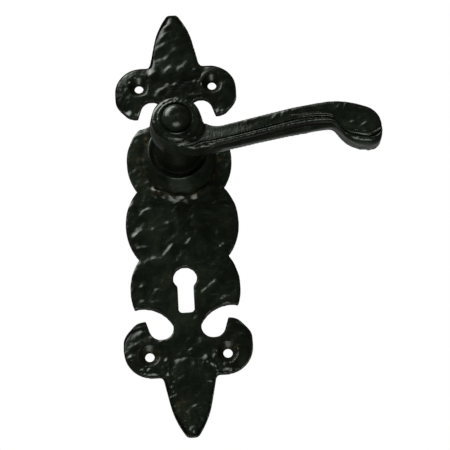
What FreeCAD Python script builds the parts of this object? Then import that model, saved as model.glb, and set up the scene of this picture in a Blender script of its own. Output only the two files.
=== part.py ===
import FreeCAD, Part
import math
import os

import Sketcher

# Lever handle on an ornamental lever-lock backplate, in millimetres.
# X runs along the lever, Y into the door, Z up. The origin is on the spindle's axis,
# in the plane of the plate's back face. "Stand" is a distance in front of that plane
# (towards -Y), and "drop" or "reach" a distance down or away from a centre.

SIZES = {
    # backplate
    "plate_thickness": 4.4,
    "spear_rise": 0.7,
    "rose_radius": 24.5,
    "waist_radius": 26.0,
    "waist_drop": 31.0,
    "key_lobe_radius": 24.9,
    "key_lobe_drop": 62.0,
    "centre_drop": 27.0,
    "bite_radius": 15.3,
    "bite_offset": 20.0,
    "bite_reach": 58.6,
    "stem_width": 12.6,
    "stem_root_reach": 39.0,
    "eye_far_offset": 15.6,
    "eye_before_hole": 7.1,
    "eye_corner_radius": 5.2,
    "hook_tip_offset": 18.4,
    "hook_tip_before_hole": 15.9,
    "hook_back_offset": 22.6,
    "hook_back_before_hole": 15.3,
    "hook_back_radius": 6.0,
    "lobe_half_width": 28.8,
    "lobe_top_reach": 57.0,
    "lobe_top_radius": 8.0,
    "lobe_end_past_hole": 9.6,
    "lobe_end_radius": 12.6,
    "spear_root_half_width": 11.9,
    "spear_root_radius": 2.0,
    "spear_side_half_width": 7.8,
    "spear_point_length": 8.3,
    "spear_side_radius": 39.0,
    "spear_tip_reach": 102.4,
    "spear_tip_half_width": 2.4,
    "spear_tip_radius": 2.7,
    "leaf_arch_rise": 6.0,
    "leaf_side_length": 5.1,
    "leaf_shoulder_radius": 7.0,
    # holes in the backplate
    "fixing_spacing_across": 34.8,
    "fixing_spacing_along": 131.0,
    "fixing_hole_diameter": 4.2,
    "fixing_sink_diameter": 10.0,
    "key_drop": 57.0,
    "key_hole_radius": 5.4,
    "key_slot_width": 7.1,
    "key_slot_length": 16.4,
    "key_slot_corner_radius": 1.6,
    # boss collar
    "boss_foot_width": 2.0,
    "boss_rim_radius": 14.1,
    "boss_rim_stand": 16.0,
    "boss_rim_wall": 1.7,
    "boss_rim_rounding": 0.5,
    "spigot_wall": 2.1,
    "web_thickness": 2.0,
    "cavity_clearance": 0.8,
    "fit_clearance": 0.02,
    # hub bearing
    "journal_radius": 8.0,
    "running_clearance": 0.05,
    "bush_wall": 0.85,
    "neck_washer_thickness": 0.9,
    "neck_washer_radius": 10.1,
    "end_play": 0.1,
    # lever head and neck
    "neck_radius": 10.3,
    "head_radius": 11.9,
    "head_front_radius": 10.6,
    "head_front_stand": 52.8,
    "head_depth": 13.1,
    "head_face_depth": 9.3,
    "head_under_bevel": 1.5,
    "head_rim_radius": 1.5,
    "journal_end_stand": 3.0,
    "cap_seat_depth": 1.0,
    "cap_groove_width": 0.4,
    "cap_groove_bevel": 0.5,
    # lever arm, all in the plane parallel to the plate
    "arm_front_setback": 1.8,
    "arm_depth": 9.0,
    "arm_root_half_length": 4.0,
    "arm_root_height": 3.0,
    "arm_dip_length": 16.3,
    "arm_dip_drop": 4.5,
    "arm_dip_radius": 9.0,
    "arm_crest_setback": 18.6,
    "arm_crest_height": 7.1,
    "arm_crest_radius": 43.0,
    "lever_length": 89.0,
    "pad_corner_drop": 0.7,
    "pad_corner_radius": 9.8,
    "pad_bottom_drop": 14.8,
    "pad_end_radius": 5.3,
    "pad_heel_setback": 14.0,
    "pad_heel_radius": 13.5,
    "arm_under_drop": 4.9,
    "pad_throat_setback": 20.7,
    "pad_throat_radius": 3.5,
    "arm_under_setback": 33.4,
    "arm_under_radius": 80.0,
    "arm_belly_length": 14.8,
    "arm_belly_drop": 13.6,
    "arm_belly_radius": 55.0,
    "arm_chin_length": 7.4,
    "arm_chin_radius": 6.0,
    "arm_heel_drop": 11.3,
    "arm_heel_length": 2.0,
    # domed cap on the head
    "cap_radius": 6.2,
    "cap_height": 5.6,
    "cap_dome_radius": 5.0,
    "cap_stem_radius": 3.0,
    "cap_stem_length": 6.0,
    # spindle and its screw
    "spindle_square": 8.0,
    "spindle_length": 95.0,
    "spindle_depth": 34.0,
    "socket_clearance": 0.1,
    "socket_spare_depth": 2.0,
    "grub_radius": 2.5,
    "grub_stand": 26.0,
    "grub_sink": 0.5,
    "grub_key_radius": 1.25,
    "grub_key_depth": 2.5,
    # spring cam and what holds it on the hub
    "thrust_washer_thickness": 0.8,
    "thrust_washer_pin_clearance": 0.4,
    "flat_half_width": 6.6,
    "cam_thickness": 2.0,
    "cam_pin_clearance": 0.5,
    "ear_width": 6.0,
    "ear_angle": 70.0,
    "tab_thickness": 1.0,
    "tab_length": 2.8,
    "cam_clearance": 0.05,
    "flats_fill_lap": 0.5,
    "circlip_thickness": 1.0,
    "circlip_groove_depth": 0.7,
    "circlip_lip": 1.5,
    "circlip_gap_angle": 35.0,
    # stops and spring
    "lever_travel": 40.0,
    "stop_pin_radius": 1.0,
    "stop_pin_wall_gap": 0.4,
    "stop_clearance": 0.15,
    "pin_front_wall": 0.5,
    "anchor_pin_radius": 0.9,
    "anchor_pin_wall_gap": 0.3,
    "anchor_angle": -90.0,
    "wire_radius": 0.6,
    "coil_turns": 2.0,
    "coil_gap": 0.65,
    "coil_clearance": 0.25,
    "coil_circlip_gap": 0.6,
    "coil_tab_gap": 0.3,
    "leg_bend_radius": 1.2,
    "leg_wall_gap": 0.6,
    "leg_clearance": 0.1,
    # rear cover
    "cover_lap": 4.5,
    "cover_thickness": 1.5,
    "cover_sink": 0.2,
    "cover_clearance": 0.1,
    "cover_bore_clearance": 0.75,
    "cover_screw_edge": 0.1,
    "cover_screw_count": 4,
    "cover_screw_first_angle": 45.0,
    "cover_screw_radius": 1.25,
    "cover_screw_head_radius": 2.3,
    "cover_screw_length": 3.2,
    "cover_screw_spare_depth": 0.1,
    "cover_screw_slot_width": 0.6,
    "cover_screw_slot_depth": 0.6,
}

doc = FreeCAD.newDocument("lever_handle")
sheet = doc.addObject("Spreadsheet::Sheet", "Sizes")
for row, (alias, value) in enumerate(SIZES.items(), start=1):
    sheet.set(f"A{row}", alias.replace("_", " "))
    sheet.set(f"B{row}", str(value))
    sheet.setAlias(f"B{row}", alias)
doc.recompute()


# Sheet names stand bare in the expressions of this file. This adds the sheet to each.

def bound(expression):
    """The expression with each size's name led by the sheet's."""
    words = []
    word = ""
    for character in expression + " ":
        if character.isalnum() or character == "_":
            word += character
            continue
        words.append(f"Sizes.{word}" if word in SIZES else word)
        words.append(character)
        word = ""
    return "".join(words).strip()


def size(expression):
    """The value of an expression in the sheet's sizes."""
    return float(sheet.evalExpression(bound(expression)))


def bind(target, **properties):
    """Bind an object's properties to expressions."""
    for name, expression in properties.items():
        target.setExpression(name, bound(expression))


# Sketches: outlines are polygons whose corners have rounding radii.

# The most of an edge that the roundings at its two ends may take.
EDGE_SHARE = 0.99


def origin_plane(body, role):
    return next(f for f in body.Origin.OriginFeatures if f.Role == role)


def new_sketch(body, name, plane, stand=None):
    """A sketch on an origin plane, or that far in front of the XZ plane."""
    sketch = body.newObject("Sketcher::SketchObject", name)
    sketch.AttachmentSupport = [(origin_plane(body, plane), "")]
    sketch.MapMode = "FlatFace"
    if stand:
        sketch.setExpression(".AttachmentOffset.Base.z", bound(stand))
    return sketch


def place_point(sketch, geometry, point, across, up):
    """Hold a point at expressions for its two coordinates."""
    for kind, axis, expression in (("DistanceX", -2, across), ("DistanceY", -1, up)):
        value = size(expression)
        if abs(value) < 1e-9:
            sketch.addConstraint(Sketcher.Constraint("PointOnObject", geometry, point, axis))
            continue
        ends = (-1, 1, geometry, point) if value > 0 else (geometry, point, -1, 1)
        held = sketch.addConstraint(Sketcher.Constraint(kind, *ends, abs(value)))
        signed = expression if value > 0 else f"-({expression})"
        sketch.setExpression(f"Constraints[{held}]", bound(signed))


def rounding_radii(corners, spots):
    """Each corner's radius, cut down where its two edges have no room for the full one."""
    count = len(corners)
    reaches = []
    for i, (across, up, *rounding) in enumerate(corners):
        back = spots[i - 1] - spots[i]
        ahead = spots[(i + 1) % count] - spots[i]
        half = back.getAngle(ahead) / 2
        reaches.append(size(rounding[0]) / math.tan(half) if rounding else 0)
    radii = []
    for i, (across, up, *rounding) in enumerate(corners):
        share = 1
        for other in (i - 1, (i + 1) % count):
            room = (spots[other] - spots[i]).Length * EDGE_SHARE
            share = min(share, room / max(reaches[i] + reaches[other], room))
        full = rounding[0] if rounding else None
        radii.append(f"({full}) * {share}" if full and share < 1 else full)
    return radii


def draw_outline(sketch, corners):
    """A closed outline through (across, up) corners, each with an optional radius.

    Every corner is a construction point held by the sheet, the lines run through
    the points, and an arc of the corner's radius is tangent to both its lines.
    """
    spots = [FreeCAD.Vector(size(c[0]), size(c[1]), 0) for c in corners]
    count = len(corners)
    radii = rounding_radii(corners, spots)
    cuts = []
    for i in range(count):
        here = spots[i]
        back = (spots[i - 1] - here).normalize()
        ahead = (spots[(i + 1) % count] - here).normalize()
        if radii[i] is None:
            cuts.append((here, here, None))
            continue
        radius = size(radii[i])
        half = back.getAngle(ahead) / 2
        reach = radius / math.tan(half)
        middle = here + (back + ahead).normalize() * (radius / math.sin(half))
        cuts.append((here + back * reach, here + ahead * reach, (middle, radius)))
    lines = []
    for i in range(count):
        start = cuts[i][1]
        end = cuts[(i + 1) % count][0]
        lines.append(sketch.addGeometry(Part.LineSegment(start, end), False))
    for i, corner in enumerate(corners):
        before = lines[i - 1]
        after = lines[i]
        entry, leave, bend = cuts[i]
        if bend is None:
            sketch.addConstraint(Sketcher.Constraint("Coincident", before, 2, after, 1))
            place_point(sketch, after, 1, corner[0], corner[1])
            continue
        middle, radius = bend
        turn = (entry - middle).cross(leave - middle).z
        first, last = (entry, leave) if turn > 0 else (leave, entry)
        angles = [math.atan2(p.y - middle.y, p.x - middle.x) for p in (first, last)]
        circle = Part.Circle(middle, FreeCAD.Vector(0, 0, 1), radius)
        arc = sketch.addGeometry(Part.ArcOfCircle(circle, *angles), False)
        entry_end, leave_end = (1, 2) if turn > 0 else (2, 1)
        sketch.addConstraint(Sketcher.Constraint("Tangent", before, 2, arc, entry_end))
        sketch.addConstraint(Sketcher.Constraint("Tangent", arc, leave_end, after, 1))
        rounding = sketch.addConstraint(Sketcher.Constraint("Radius", arc, radius))
        sketch.setExpression(f"Constraints[{rounding}]", bound(radii[i]))
        mark = sketch.addGeometry(Part.Point(spots[i]), True)
        place_point(sketch, mark, 1, corner[0], corner[1])
        sketch.addConstraint(Sketcher.Constraint("PointOnObject", mark, 1, before))
        sketch.addConstraint(Sketcher.Constraint("PointOnObject", mark, 1, after))


def draw_circle(sketch, across, up, radius):
    middle = FreeCAD.Vector(size(across), size(up), 0)
    circle = Part.Circle(middle, FreeCAD.Vector(0, 0, 1), size(radius))
    ring = sketch.addGeometry(circle, False)
    held = sketch.addConstraint(Sketcher.Constraint("Radius", ring, size(radius)))
    sketch.setExpression(f"Constraints[{held}]", bound(radius))
    place_point(sketch, ring, 3, across, up)


def draw_box(sketch, left, right, low, high):
    draw_outline(sketch, [(left, low), (right, low), (right, high), (left, high)])


# Features. Discs, pads and cuts are drawn in the XZ plane and run towards the front.

def new_body(label):
    body = doc.addObject("PartDesign::Body", label)
    body.Label = label
    return body


def pad(body, name, sketch, length):
    feature = body.newObject("PartDesign::Pad", name)
    feature.Profile = sketch
    bind(feature, Length=length)
    sketch.Visibility = False
    doc.recompute()
    return feature


def cut(body, name, sketch, length):
    """A pocket that runs towards the front from its sketch."""
    feature = body.newObject("PartDesign::Pocket", name)
    feature.Profile = sketch
    feature.Reversed = True
    bind(feature, Length=length)
    doc.recompute()
    return feature


def disc(body, name, across, up, radius, length, stand=None):
    sketch = new_sketch(body, name + "_sketch", "XZ_Plane", stand)
    draw_circle(sketch, across, up, radius)
    return pad(body, name, sketch, length)


def bore(body, name, across, up, radius, length, stand=None):
    sketch = new_sketch(body, name + "_sketch", "XZ_Plane", stand)
    draw_circle(sketch, across, up, radius)
    return cut(body, name, sketch, length)


def turned(body, name, corners, angle="360"):
    """Turn a (radius, stand) outline about the spindle's axis."""
    sketch = new_sketch(body, name + "_sketch", "XY_Plane")
    flipped = [(c[0], f"-({c[1]})") + tuple(c[2:]) for c in corners]
    draw_outline(sketch, flipped)
    feature = body.newObject("PartDesign::Revolution", name)
    feature.Profile = sketch
    feature.ReferenceAxis = (sketch, ["V_Axis"])
    bind(feature, Angle=angle)
    doc.recompute()
    return feature


def turned_ring(label, inner, outer, back, front):
    body = new_body(label)
    turned(body, label + "_ring", [(inner, back), (outer, back), (outer, front), (inner, front)])
    return body


# Places that more than one piece shares

HOLE_REACH = "fixing_spacing_along / 2"
EYE_REACH = f"{HOLE_REACH} - eye_before_hole"
LOBE_END_REACH = f"{HOLE_REACH} + lobe_end_past_hole"
SPEAR_SIDE_REACH = "spear_tip_reach - spear_point_length"
LEAF_SHOULDER_REACH = f"{LOBE_END_REACH} - leaf_side_length"

# Outwards from the hub: circlip, coil, the cam's tab, the collar's cavity, its spigot,
# the rear cover. Each is clear of the one before.
CIRCLIP_RADIUS = "journal_radius + circlip_lip"
COIL_RADIUS = f"({CIRCLIP_RADIUS} + coil_circlip_gap + wire_radius)"
EAR_REACH = f"({COIL_RADIUS} + wire_radius + coil_tab_gap + tab_thickness)"
CAVITY_RADIUS = f"({EAR_REACH} + cavity_clearance)"
SPIGOT_RADIUS = f"({CAVITY_RADIUS} + spigot_wall)"
COVER_RADIUS = f"({SPIGOT_RADIUS} + cover_lap)"
COVER_SCREW_CIRCLE = f"({COVER_RADIUS} - cover_screw_head_radius - cover_screw_edge)"
LEG_REACH = f"({CAVITY_RADIUS} - leg_wall_gap)"
STOP_CIRCLE = f"({CAVITY_RADIUS} - stop_pin_radius - stop_pin_wall_gap)"
ANCHOR_CIRCLE = f"({CAVITY_RADIUS} - anchor_pin_radius - anchor_pin_wall_gap)"
THRUST_WASHER_RADIUS = f"{STOP_CIRCLE} - stop_pin_radius - thrust_washer_pin_clearance"
CAM_RADIUS = f"{STOP_CIRCLE} - stop_pin_radius - cam_pin_clearance"

# Angles, turned from +X towards -Z, of the stops and of the coil's two ends.
PIN_HALF_TURN = f"asin(stop_pin_radius / {STOP_CIRCLE}) / 1 deg"
EAR_HALF_TURN = f"asin((ear_width / 2 + stop_clearance) / {STOP_CIRCLE}) / 1 deg"
REST_STOP = f"ear_angle - ({EAR_HALF_TURN}) - ({PIN_HALF_TURN})"
TRAVEL_STOP = f"ear_angle + lever_travel + ({EAR_HALF_TURN}) + ({PIN_HALF_TURN})"
TAB_SIDE = "(ear_width / 2 + wire_radius + leg_clearance)"
PIN_SIDE = "(anchor_pin_radius + wire_radius + leg_clearance)"
BEND_CIRCLE = f"({COIL_RADIUS} + leg_bend_radius)"
MOVING_END = f"ear_angle + asin(({TAB_SIDE} - leg_bend_radius) / {BEND_CIRCLE}) / 1 deg"
FIXED_END = f"anchor_angle - asin(({PIN_SIDE} - leg_bend_radius) / {BEND_CIRCLE}) / 1 deg"
TURNS = f"(coil_turns + ({MOVING_END} - ({FIXED_END})) / 360)"
PITCH = "(2 * wire_radius + coil_gap)"

# Forwards from the rear cover: coil, cam, thrust washer, web, neck washer, shoulder.
COVER_FRONT = "cover_sink + cover_thickness"
COIL_BACK = f"{COVER_FRONT} + coil_clearance + wire_radius"
COIL_FRONT = f"{COIL_BACK} + {TURNS} * {PITCH}"
CAM_BACK = f"{COIL_FRONT} + wire_radius + coil_clearance"
CAM_FRONT = f"{CAM_BACK} + cam_thickness"
WEB_BACK = f"{CAM_FRONT} + thrust_washer_thickness + 2 * end_play"
WEB_FRONT = f"{WEB_BACK} + web_thickness"
SHOULDER = f"{WEB_FRONT} + neck_washer_thickness + end_play"
GROOVE_FRONT = f"{CAM_BACK} - cam_clearance"
RIM_BORE = "boss_rim_radius - boss_rim_wall"
BUSH_SEAT = "journal_radius + running_clearance + bush_wall + fit_clearance"

# Back from the head's front, and from the lever's end.
CAP_SEAT = "head_front_stand - cap_seat_depth"
HEAD_BACK = "head_front_stand - head_depth"
HEAD_BELLY = "head_front_stand - head_face_depth"
ARM_BACK = "head_front_stand - arm_front_setback - arm_depth"
SOCKET_DEPTH = "spindle_depth + socket_spare_depth"


def around(circle, angle):
    """Expressions for the X and Z of a place on a circle, turned from +X towards -Z."""
    return f"({circle}) * cos(({angle}) * 1 deg)", f"-({circle}) * sin(({angle}) * 1 deg)"


# Backplate

def fleur_corners():
    """Half of the lower fleur: stem, hook, lobe and spear, as (offset, reach, radius)."""
    past_middle = "-stem_width / 4"
    return [
        (past_middle, "stem_root_reach"),
        ("stem_width / 2", "stem_root_reach"),
        ("stem_width / 2", EYE_REACH, "eye_corner_radius"),
        ("eye_far_offset", EYE_REACH, "eye_corner_radius"),
        ("hook_tip_offset", f"{HOLE_REACH} - hook_tip_before_hole"),
        ("hook_back_offset", f"{HOLE_REACH} - hook_back_before_hole", "hook_back_radius"),
        ("lobe_half_width", "lobe_top_reach", "lobe_top_radius"),
        ("lobe_half_width", LOBE_END_REACH, "lobe_end_radius"),
        ("spear_root_half_width", LOBE_END_REACH, "spear_root_radius"),
        ("spear_side_half_width", SPEAR_SIDE_REACH, "spear_side_radius"),
        ("spear_tip_half_width", "spear_tip_reach", "spear_tip_radius"),
        ("0", "spear_tip_reach"),
    ]


def spear_corners():
    """Half of the raised leaf on the spear."""
    past_middle = "-stem_width / 4"
    leaf_root = f"{LEAF_SHOULDER_REACH} - leaf_arch_rise"
    return [
        (past_middle, leaf_root),
        ("stem_width / 2", leaf_root, "leaf_shoulder_radius"),
        ("spear_root_half_width", LEAF_SHOULDER_REACH, "leaf_shoulder_radius / 2"),
        ("spear_root_half_width", LOBE_END_REACH),
        ("spear_side_half_width", SPEAR_SIDE_REACH, "spear_side_radius"),
        ("spear_tip_half_width", "spear_tip_reach", "spear_tip_radius"),
        ("0", "spear_tip_reach"),
    ]


def below_centre(corners):
    """Turn reaches into heights below the plate's own centre."""
    return [(c[0], f"-centre_drop - ({c[1]})") + tuple(c[2:]) for c in corners]


def make_backplate():
    body = new_body("backplate")
    disc(body, "rose_lobe", "0", "0", "rose_radius", "plate_thickness")
    disc(body, "waist_lobe", "0", "-waist_drop", "waist_radius", "plate_thickness")
    disc(body, "key_lobe", "0", "-key_lobe_drop", "key_lobe_radius", "plate_thickness")
    bites = new_sketch(body, "bites_sketch", "XZ_Plane")
    for side in ("bite_offset", "-bite_offset"):
        for end in ("-centre_drop - bite_reach", "-centre_drop + bite_reach"):
            draw_circle(bites, side, end, "bite_radius")
    cut(body, "bites", bites, "plate_thickness")
    fleur = new_sketch(body, "fleur_sketch", "XZ_Plane")
    draw_outline(fleur, below_centre(fleur_corners()))
    fleur_pad = pad(body, "fleur", fleur, "plate_thickness")
    leaf = new_sketch(body, "leaf_sketch", "XZ_Plane")
    draw_outline(leaf, below_centre(spear_corners()))
    leaf_pad = pad(body, "leaf", leaf, "plate_thickness + spear_rise")
    middle = body.newObject("PartDesign::Plane", "plate_middle")
    middle.AttachmentSupport = [(origin_plane(body, "XY_Plane"), "")]
    middle.MapMode = "FlatFace"
    middle.setExpression(".AttachmentOffset.Base.z", bound("-centre_drop"))
    mirrored = body.newObject("PartDesign::MultiTransform", "four_corners")
    mirrored.Originals = [fleur_pad, leaf_pad]
    across = body.newObject("PartDesign::Mirrored", "side_to_side")
    across.MirrorPlane = (origin_plane(body, "YZ_Plane"), [""])
    over = body.newObject("PartDesign::Mirrored", "end_to_end")
    over.MirrorPlane = (middle, [""])
    mirrored.Transformations = [across, over]
    body.Tip = mirrored
    doc.recompute()

    bore(body, "boss_seat", "0", "0", f"{SPIGOT_RADIUS} + fit_clearance", "plate_thickness")
    bore(body, "cover_recess", "0", "0", f"{COVER_RADIUS} + cover_clearance", COVER_FRONT)
    pilots = new_sketch(body, "pilots_sketch", "XZ_Plane")
    for i in range(int(size("cover_screw_count"))):
        draw_circle(pilots, *cover_screw_place(i), "cover_screw_radius + fit_clearance")
    cut(body, "pilots", pilots, "cover_sink + cover_screw_length + cover_screw_spare_depth")
    bore(body, "key_hole", "0", "-key_drop", "key_hole_radius", "plate_thickness")
    slot = new_sketch(body, "key_slot_sketch", "XZ_Plane")
    slot_end = "-key_drop - key_slot_length"
    draw_outline(slot, [
        ("-key_slot_width / 2", "-key_drop"),
        ("-key_slot_width / 2", slot_end, "key_slot_corner_radius"),
        ("key_slot_width / 2", slot_end, "key_slot_corner_radius"),
        ("key_slot_width / 2", "-key_drop"),
    ])
    cut(body, "key_slot", slot, "plate_thickness")
    fixings = new_sketch(body, "fixings_sketch", "XZ_Plane", "plate_thickness")
    for side in ("fixing_spacing_across / 2", "-fixing_spacing_across / 2"):
        for end in (f"-centre_drop - {HOLE_REACH}", f"-centre_drop + {HOLE_REACH}"):
            draw_circle(fixings, side, end, "fixing_hole_diameter / 2")
    doc.recompute()
    hole = body.newObject("PartDesign::Hole", "fixing_holes")
    hole.Profile = fixings
    hole.DepthType = "ThroughAll"
    hole.Threaded = False
    hole.ThreadType = "None"
    hole.HoleCutType = "Countersink"
    hole.HoleCutCustomValues = True
    hole.HoleCutCountersinkAngle = 90
    bind(hole, Diameter="fixing_hole_diameter", HoleCutDiameter="fixing_sink_diameter")
    doc.recompute()
    return body


def cover_screw_place(i):
    angle = f"cover_screw_first_angle + {i} * 360 / cover_screw_count"
    return around(COVER_SCREW_CIRCLE, angle)


# Boss, bush and washers

def make_boss_collar():
    body = new_body("boss_collar")
    turned(body, "boss", [
        (CAVITY_RADIUS, COVER_FRONT),
        (SPIGOT_RADIUS, COVER_FRONT),
        (SPIGOT_RADIUS, "plate_thickness"),
        (f"{SPIGOT_RADIUS} + boss_foot_width", "plate_thickness"),
        ("boss_rim_radius", "boss_rim_stand", "boss_rim_rounding"),
        (RIM_BORE, "boss_rim_stand"),
        (RIM_BORE, WEB_FRONT),
        (BUSH_SEAT, WEB_FRONT),
        (BUSH_SEAT, WEB_BACK),
        (CAVITY_RADIUS, WEB_BACK),
    ])
    for name, circle, angle, radius in pin_list():
        across, up = around(circle, angle)
        bore(body, name + "_hole", across, up, f"{radius} + fit_clearance",
             "web_thickness - pin_front_wall", WEB_BACK)
    return body


def pin_list():
    """Name, pitch radius, angle and radius of the three pins in the web."""
    return [
        ("rest_stop_pin", STOP_CIRCLE, REST_STOP, "stop_pin_radius"),
        ("travel_stop_pin", STOP_CIRCLE, TRAVEL_STOP, "stop_pin_radius"),
        ("spring_anchor_pin", ANCHOR_CIRCLE, "anchor_angle", "anchor_pin_radius"),
    ]


def make_pin(name, circle, angle, radius, back):
    body = new_body(name)
    across, up = around(circle, angle)
    front = f"{WEB_FRONT} - pin_front_wall - fit_clearance"
    disc(body, name + "_rod", across, up, radius, f"{front} - ({back})", back)
    return body


# Lever

def arm_corners():
    """The arm seen from the front, from the head's shoulder round the pad and back."""
    return [
        ("arm_root_half_length", "arm_root_height"),
        ("arm_dip_length", "-arm_dip_drop", "arm_dip_radius"),
        ("lever_length - arm_crest_setback", "arm_crest_height", "arm_crest_radius"),
        ("lever_length", "-pad_corner_drop", "pad_corner_radius"),
        ("lever_length", "-pad_bottom_drop", "pad_end_radius"),
        ("lever_length - pad_heel_setback", "-pad_bottom_drop", "pad_heel_radius"),
        ("lever_length - pad_throat_setback", "-arm_under_drop", "pad_throat_radius"),
        ("lever_length - arm_under_setback", "-arm_under_drop", "arm_under_radius"),
        ("arm_belly_length", "-arm_belly_drop", "arm_belly_radius"),
        ("arm_chin_length", "-arm_belly_drop", "arm_chin_radius"),
        ("-arm_heel_length", "-arm_heel_drop"),
        ("-arm_heel_length", "arm_root_height"),
    ]


def make_lever():
    body = new_body("lever")
    stem_bore = "cap_stem_radius + fit_clearance"
    stem_end = f"{CAP_SEAT} - cap_stem_length - fit_clearance"
    turned(body, "head_and_neck", [
        ("0", "journal_end_stand"),
        ("journal_radius", "journal_end_stand"),
        ("journal_radius", SHOULDER),
        ("neck_radius", SHOULDER),
        ("neck_radius", f"{HEAD_BACK} - head_under_bevel"),
        ("head_radius", HEAD_BACK),
        ("head_radius", HEAD_BELLY),
        ("head_front_radius", "head_front_stand", "head_rim_radius"),
        ("cap_radius + cap_groove_width + cap_groove_bevel", "head_front_stand"),
        ("cap_radius + cap_groove_width", CAP_SEAT),
        ("0", CAP_SEAT),
    ])
    arm = new_sketch(body, "arm_sketch", "XZ_Plane", ARM_BACK)
    draw_outline(arm, arm_corners())
    pad(body, "arm", arm, "arm_depth")
    bore(body, "cap_bore", "0", "0", stem_bore, f"{CAP_SEAT} - ({stem_end})", stem_end)
    socket = new_sketch(body, "socket_sketch", "XZ_Plane")
    half = "(spindle_square / 2 + socket_clearance)"
    draw_box(socket, "-" + half, half, "-" + half, half)
    cut(body, "socket", socket, SOCKET_DEPTH)
    flats = new_sketch(body, "flats_sketch", "XZ_Plane")
    wide = "2 * journal_radius"
    draw_box(flats, "flat_half_width", wide, "-" + wide, wide)
    draw_box(flats, "-" + wide, "-flat_half_width", "-" + wide, wide)
    cut(body, "cam_flats", flats, CAM_FRONT)
    ring = new_sketch(body, "circlip_groove_sketch", "XY_Plane")
    draw_box(ring, "journal_radius - circlip_groove_depth", "2 * journal_radius",
             f"-({GROOVE_FRONT})", f"-({GROOVE_FRONT} - circlip_thickness - cam_clearance)")
    groove = body.newObject("PartDesign::Groove", "circlip_groove")
    groove.Profile = ring
    groove.ReferenceAxis = (ring, ["V_Axis"])
    groove.Angle = 360
    doc.recompute()
    tapping = new_sketch(body, "grub_hole_sketch", "XY_Plane")
    draw_circle(tapping, "0", "-grub_stand", "grub_radius + fit_clearance")
    cut(body, "grub_hole", tapping, "neck_radius")
    return body


def make_front_cap():
    body = new_body("front_cap")
    turned(body, "dome", [
        ("0", f"{CAP_SEAT} - cap_stem_length"),
        ("cap_stem_radius", f"{CAP_SEAT} - cap_stem_length"),
        ("cap_stem_radius", CAP_SEAT),
        ("cap_radius", CAP_SEAT),
        ("cap_radius", f"{CAP_SEAT} + cap_height", "cap_dome_radius"),
        ("0", f"{CAP_SEAT} + cap_height"),
    ])
    return body


def make_spindle():
    body = new_body("spindle")
    half = "spindle_square / 2"
    back = "spindle_depth - spindle_length"
    square = new_sketch(body, "spindle_sketch", "XZ_Plane", back)
    draw_box(square, "-" + half, half, "-" + half, half)
    pad(body, "spindle_bar", square, "spindle_length")
    return body


def make_grub_screw():
    """Drawn about the vertical through the screw, and moved to it by the body's place."""
    body = new_body("grub_screw")
    low = "spindle_square / 2"
    high = "sqrt(neck_radius^2 - grub_radius^2) - grub_sink"
    sketch = new_sketch(body, "grub_sketch", "XY_Plane", None)
    sketch.setExpression(".AttachmentOffset.Base.z", bound(low))
    draw_circle(sketch, "0", "0", "grub_radius")
    pad(body, "grub", sketch, f"{high} - {low}")
    key = new_sketch(body, "grub_key_sketch", "XY_Plane")
    key.setExpression(".AttachmentOffset.Base.z", bound(f"{high} - grub_key_depth"))
    corners = [(f"grub_key_radius * cos({60 * i} deg)", f"grub_key_radius * sin({60 * i} deg)")
               for i in range(6)]
    draw_outline(key, corners)
    cut(body, "grub_key", key, "grub_key_depth")
    body.setExpression(".Placement.Base.y", bound("-grub_stand"))
    return body


# Return mechanism

def make_spring_cam():
    """Drawn with its ear along +X, and turned to its angle by the body's place."""
    body = new_body("spring_cam")
    disc(body, "cam_disc", "0", "0", CAM_RADIUS, "cam_thickness", CAM_BACK)
    ear = new_sketch(body, "ear_sketch", "XZ_Plane", CAM_BACK)
    draw_box(ear, "journal_radius", EAR_REACH, "-ear_width / 2", "ear_width / 2")
    pad(body, "ear", ear, "cam_thickness")
    tab = new_sketch(body, "tab_sketch", "XZ_Plane", f"{CAM_BACK} - tab_length")
    draw_box(tab, f"{EAR_REACH} - tab_thickness", EAR_REACH, "-ear_width / 2", "ear_width / 2")
    pad(body, "tab", tab, "tab_length + cam_thickness")
    bore(body, "hub_bore", "0", "0", "journal_radius + cam_clearance", "cam_thickness", CAM_BACK)
    turn = FreeCAD.Rotation(FreeCAD.Vector(0, 1, 0), size("ear_angle"))
    body.Placement = FreeCAD.Placement(FreeCAD.Vector(), turn)
    body.setExpression(".Placement.Rotation.Angle", bound("ear_angle * 1 deg"))
    fill_to_hub_flats(body)
    return body


def fill_to_hub_flats(body):
    """Fill the round bore up to the hub's two flats, which stay square to the lever."""
    sketch = new_sketch(body, "flats_fill_sketch", "XZ_Plane", CAM_BACK)
    near = "flat_half_width + cam_clearance"
    far = "journal_radius + cam_clearance + flats_fill_lap"
    half = f"sqrt((journal_radius + cam_clearance)^2 - ({near})^2)"
    for side in (1, -1):
        corners = [(near, f"-{half}"), (far, f"-{half}"), (far, half), (near, half)]
        draw_outline(sketch, [turned_back(f"{side} * ({x})", z) for x, z in corners])
    pad(body, "flats_fill", sketch, "cam_thickness")


def turned_back(across, up):
    """A place given beside the lever, in the frame of a body turned by the ear's angle."""
    cosine = "cos(ear_angle * 1 deg)"
    sine = "sin(ear_angle * 1 deg)"
    return (f"({across}) * {cosine} - ({up}) * {sine}",
            f"({up}) * {cosine} + ({across}) * {sine}")


def make_circlip():
    body = new_body("circlip")
    inner = "journal_radius - circlip_groove_depth + fit_clearance"
    front = f"{GROOVE_FRONT} - cam_clearance / 2"
    turned(body, "ring", [
        (inner, f"{front} - circlip_thickness"),
        (CIRCLIP_RADIUS, f"{front} - circlip_thickness"),
        (CIRCLIP_RADIUS, front),
        (inner, front),
    ], "360 - circlip_gap_angle")
    return body


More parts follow.
